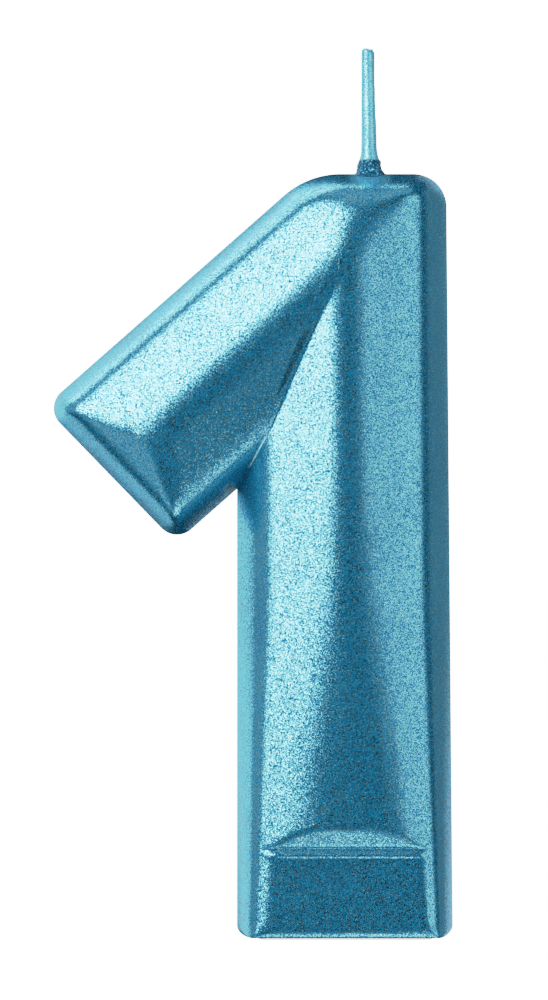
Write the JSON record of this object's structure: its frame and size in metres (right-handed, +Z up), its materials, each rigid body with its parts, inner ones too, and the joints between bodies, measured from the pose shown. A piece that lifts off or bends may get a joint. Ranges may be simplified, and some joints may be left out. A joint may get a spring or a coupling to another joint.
{
  "type": "number birthday candle",
  "caption": "Moulded wax candle shaped as the figure one, with bevelled faces, a metallic coat, a thinner foot and a short plaited wick.",
  "frame": {"origin": "centre of the flat underside of the figure's foot, midway between front and back", "axes": "+Z up along the stem towards the wick, -Y out of the front face, -X towards the tip of the figure's flag"},
  "size_m": [0.0371, 0.0142, 0.0826],
  "materials": {
    "wax": "cast paraffin wax, satin",
    "metallic_coat": "blue metallic lacquer with fine flakes, satin",
    "wick_cotton": "plaited cotton",
    "wick_wax": "priming wax, satin",
    "wick_coat": "blue metallic lacquer, satin"
  },
  "bodies": {
    "root": {"wax_body": "wax", "metallic_coat": "metallic_coat", "wick_ply_1": "wick_cotton", "wick_ply_2": "wick_cotton", "wick_ply_3": "wick_cotton", "wick_sheath": "wick_wax", "wick_coat": "wick_coat", "wick_collar": "metallic_coat"}
  },
  "joints": []
}
